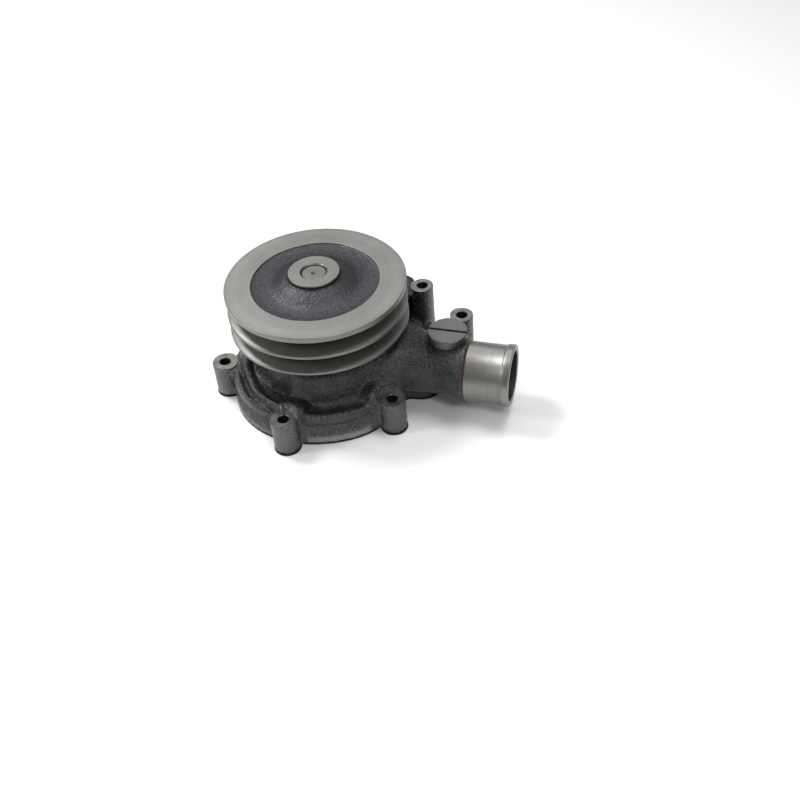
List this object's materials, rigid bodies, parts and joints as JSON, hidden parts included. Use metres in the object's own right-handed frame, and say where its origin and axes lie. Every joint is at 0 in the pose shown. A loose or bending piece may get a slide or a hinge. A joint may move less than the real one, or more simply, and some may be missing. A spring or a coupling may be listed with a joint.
{
  "type": "engine water pump",
  "caption": "Engine coolant pump with a cast volute housing, hose stub, belt-driven grooved pulley, sealed bearing shaft, face seal and impeller.",
  "frame": {"origin": "on the shaft axis, in the plane where the gasket meets the engine block", "axes": "+Z along the shaft from the engine to the pulley, +X out of the hose stub"},
  "size_m": [0.2474, 0.1986, 0.1093],
  "materials": {
    "cast_housing": "sand-cast grey iron, lightly oiled, machined at its faces",
    "plug_steel": "plain cast and turned, slotted",
    "washer_copper": "annealed sealing ring",
    "gasket_coating": "coated steel sheet, satin",
    "pulley_iron": "turned grey iron with a rough cast dish",
    "shaft_steel": "ground steel",
    "bearing_steel": "ground bearing steel",
    "cage_plastic": "moulded nylon",
    "seal_rubber": "moulded rubber",
    "spring_steel": "spring steel",
    "seal_brass": "pressed brass sheet",
    "carbon": "lapped carbon",
    "seal_ceramic": "lapped ceramic",
    "impeller_iron": "sand-cast grey iron"
  },
  "bodies": {
    "casing": {"housing": "cast_housing", "blanking_plug": "plug_steel", "plug_washer": "washer_copper", "gasket": "gasket_coating", "bearing_outer_ring": "bearing_steel", "bearing_seal_front": "seal_rubber", "bearing_seal_rear": "seal_rubber", "bearing_circlip": "spring_steel", "seal_cup": "seal_brass", "seal_bellows": "seal_rubber", "seal_spring": "spring_steel", "seal_carbon_ring": "carbon"},
    "rotor": {"pulley": "pulley_iron", "shaft": "shaft_steel", "impeller": "impeller_iron", "seal_mating_ring": "seal_ceramic", "mating_ring_boot": "seal_rubber", "slinger": "spring_steel"},
    "ball_set": {"bearing_balls": "bearing_steel", "ball_cage": "cage_plastic"},
    "roller_set": {"bearing_rollers": "bearing_steel", "roller_cage": "cage_plastic"}
  },
  "joints": [
    {"name": "shaft_spin", "type": "hinge", "parent": "casing", "child": "rotor", "pos_m": [0, 0, 0.06], "axis": [0, 0, 1], "continuous": true},
    {"name": "ball_set_spin", "type": "hinge", "parent": "casing", "child": "ball_set", "pos_m": [0, 0, 0.075], "axis": [0, 0, 1], "continuous": true},
    {"name": "roller_set_spin", "type": "hinge", "parent": "casing", "child": "roller_set", "pos_m": [0, 0, 0.0555], "axis": [0, 0, 1], "continuous": true}
  ],
  "couplings": [
    {"joint": "ball_set_spin", "follows": "shaft_spin", "ratio": 0.371},
    {"joint": "roller_set_spin", "follows": "shaft_spin", "ratio": 0.4107}
  ]
}
